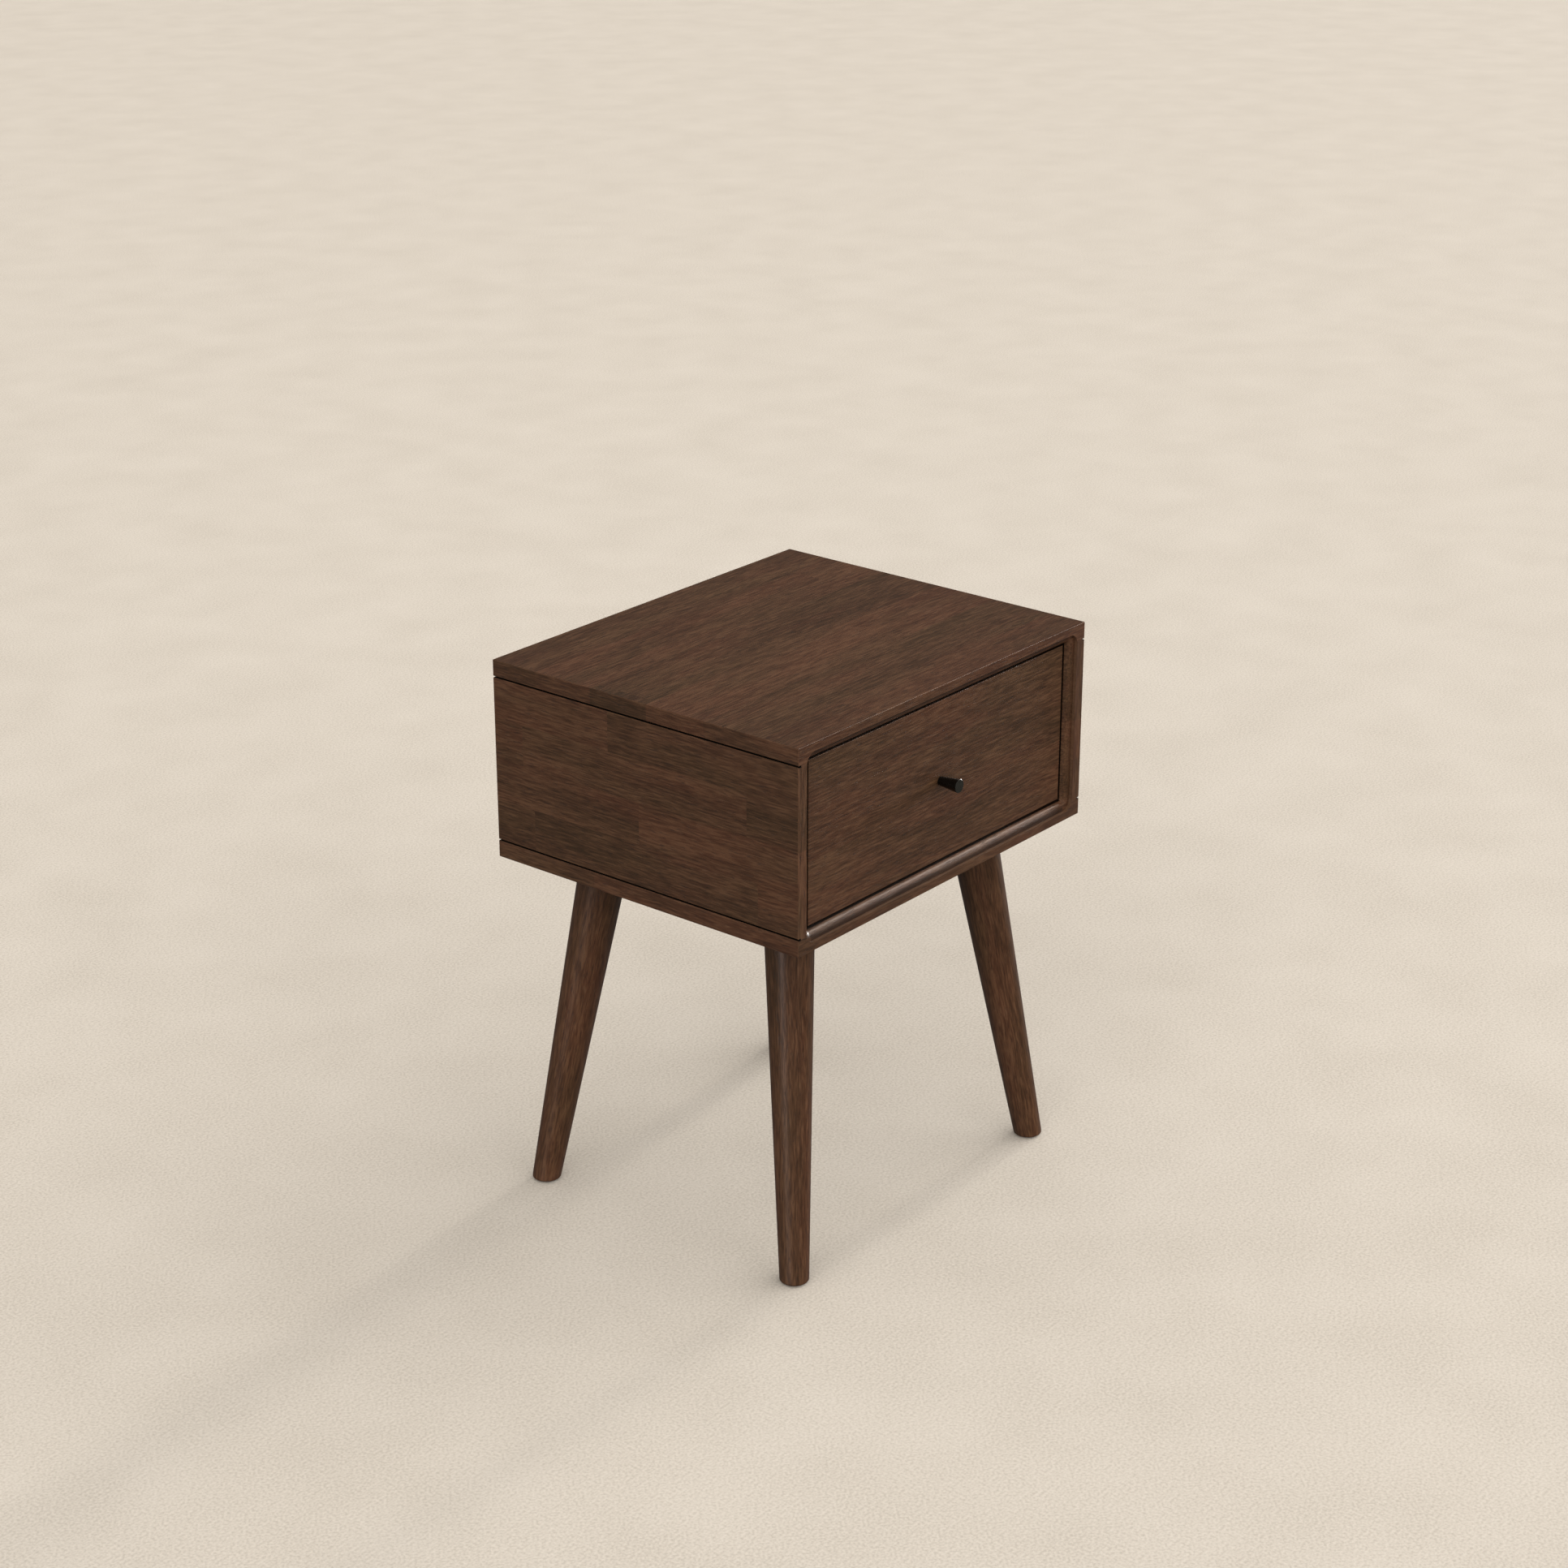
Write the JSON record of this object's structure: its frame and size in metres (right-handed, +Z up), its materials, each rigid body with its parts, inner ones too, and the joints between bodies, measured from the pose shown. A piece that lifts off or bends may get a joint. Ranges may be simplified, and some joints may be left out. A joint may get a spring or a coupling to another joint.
{
  "type": "side table with drawer",
  "caption": "Wooden side table: a low cabinet with a moulded mouth and one inset drawer on telescopic slides, on splayed round tapered legs.",
  "frame": {"origin": "on the floor, at the middle of the overall width and depth (knob included)", "axes": "+X to the right seen from the front, +Y towards the back, +Z up; the drawer opens along -Y"},
  "size_m": [0.5, 0.434, 0.629],
  "materials": {
    "top_panel": "walnut stain under a satin lacquer",
    "bottom_panel": "walnut stain under a satin lacquer",
    "left_side_panel": "walnut stain under a satin lacquer",
    "right_side_panel": "walnut stain under a satin lacquer",
    "front_left_leg": "walnut stain under a satin lacquer",
    "front_right_leg": "walnut stain under a satin lacquer",
    "back_left_leg": "walnut stain under a satin lacquer",
    "back_right_leg": "walnut stain under a satin lacquer",
    "drawer_front": "walnut stain under a satin lacquer",
    "back_panel": "dark stained plywood, matt",
    "drawer_box_wood": "clear lacquered light wood",
    "drawer_bottom_ply": "clear lacquered plywood",
    "dowel_wood": "fluted beech",
    "knob_black": "matt black powder coat",
    "slide_steel": "bright zinc",
    "zinc_steel": "zinc plated",
    "screw_steel": "yellow passivated zinc",
    "ball_steel": "polished",
    "cage_plastic": "black moulded",
    "glide_nylon": "dark nylon"
  },
  "bodies": {
    "cabinet": {"top_panel": "top_panel", "bottom_panel": "bottom_panel", "left_side_panel": "left_side_panel", "right_side_panel": "right_side_panel", "front_left_leg": "front_left_leg", "front_right_leg": "front_right_leg", "back_left_leg": "back_left_leg", "back_right_leg": "back_right_leg", "back_panel": "back_panel", "back_panel_screws": "screw_steel", "carcass_dowels": "dowel_wood", "leg_insert_nuts": "zinc_steel", "leg_hanger_bolts": "zinc_steel", "leg_glides": "glide_nylon", "glide_nails": "zinc_steel", "slide_cabinet_screws": "screw_steel", "left_slide_cabinet_member": "slide_steel", "right_slide_cabinet_member": "slide_steel"},
    "drawer": {"drawer_front": "drawer_front", "drawer_box_front": "drawer_box_wood", "drawer_back": "drawer_box_wood", "drawer_left_side": "drawer_box_wood", "drawer_right_side": "drawer_box_wood", "drawer_bottom": "drawer_bottom_ply", "drawer_dowels": "dowel_wood", "drawer_front_screws": "screw_steel", "drawer_knob": "knob_black", "knob_screw": "zinc_steel", "left_slide_drawer_member": "slide_steel", "right_slide_drawer_member": "slide_steel", "drawer_slide_screws": "screw_steel"},
    "left_slide_middle": {"left_slide_middle_member": "slide_steel"},
    "left_slide_outer_bearing": {"left_slide_outer_cage": "cage_plastic", "left_slide_outer_balls": "ball_steel"},
    "left_slide_inner_bearing": {"left_slide_inner_cage": "cage_plastic", "left_slide_inner_balls": "ball_steel"},
    "right_slide_middle": {"right_slide_middle_member": "slide_steel"},
    "right_slide_outer_bearing": {"right_slide_outer_cage": "cage_plastic", "right_slide_outer_balls": "ball_steel"},
    "right_slide_inner_bearing": {"right_slide_inner_cage": "cage_plastic", "right_slide_inner_balls": "ball_steel"}
  },
  "joints": [
    {"name": "drawer_slide", "type": "slide", "parent": "cabinet", "child": "drawer", "axis": [0, -1, 0], "range_m": [0, 0.35]},
    {"name": "left_slide_middle_travel", "type": "slide", "parent": "cabinet", "child": "left_slide_middle", "axis": [0, -1, 0], "range_m": [0, 0.175]},
    {"name": "left_slide_outer_bearing_travel", "type": "slide", "parent": "cabinet", "child": "left_slide_outer_bearing", "axis": [0, -1, 0], "range_m": [0, 0.0875]},
    {"name": "left_slide_inner_bearing_travel", "type": "slide", "parent": "cabinet", "child": "left_slide_inner_bearing", "axis": [0, -1, 0], "range_m": [0, 0.2625]},
    {"name": "right_slide_middle_travel", "type": "slide", "parent": "cabinet", "child": "right_slide_middle", "axis": [0, -1, 0], "range_m": [0, 0.175]},
    {"name": "right_slide_outer_bearing_travel", "type": "slide", "parent": "cabinet", "child": "right_slide_outer_bearing", "axis": [0, -1, 0], "range_m": [0, 0.0875]},
    {"name": "right_slide_inner_bearing_travel", "type": "slide", "parent": "cabinet", "child": "right_slide_inner_bearing", "axis": [0, -1, 0], "range_m": [0, 0.2625]}
  ],
  "couplings": [
    {"joint": "left_slide_middle_travel", "follows": "drawer_slide", "ratio": 0.5},
    {"joint": "left_slide_outer_bearing_travel", "follows": "drawer_slide", "ratio": 0.25},
    {"joint": "left_slide_inner_bearing_travel", "follows": "drawer_slide", "ratio": 0.75},
    {"joint": "right_slide_middle_travel", "follows": "drawer_slide", "ratio": 0.5},
    {"joint": "right_slide_outer_bearing_travel", "follows": "drawer_slide", "ratio": 0.25},
    {"joint": "right_slide_inner_bearing_travel", "follows": "drawer_slide", "ratio": 0.75}
  ]
}
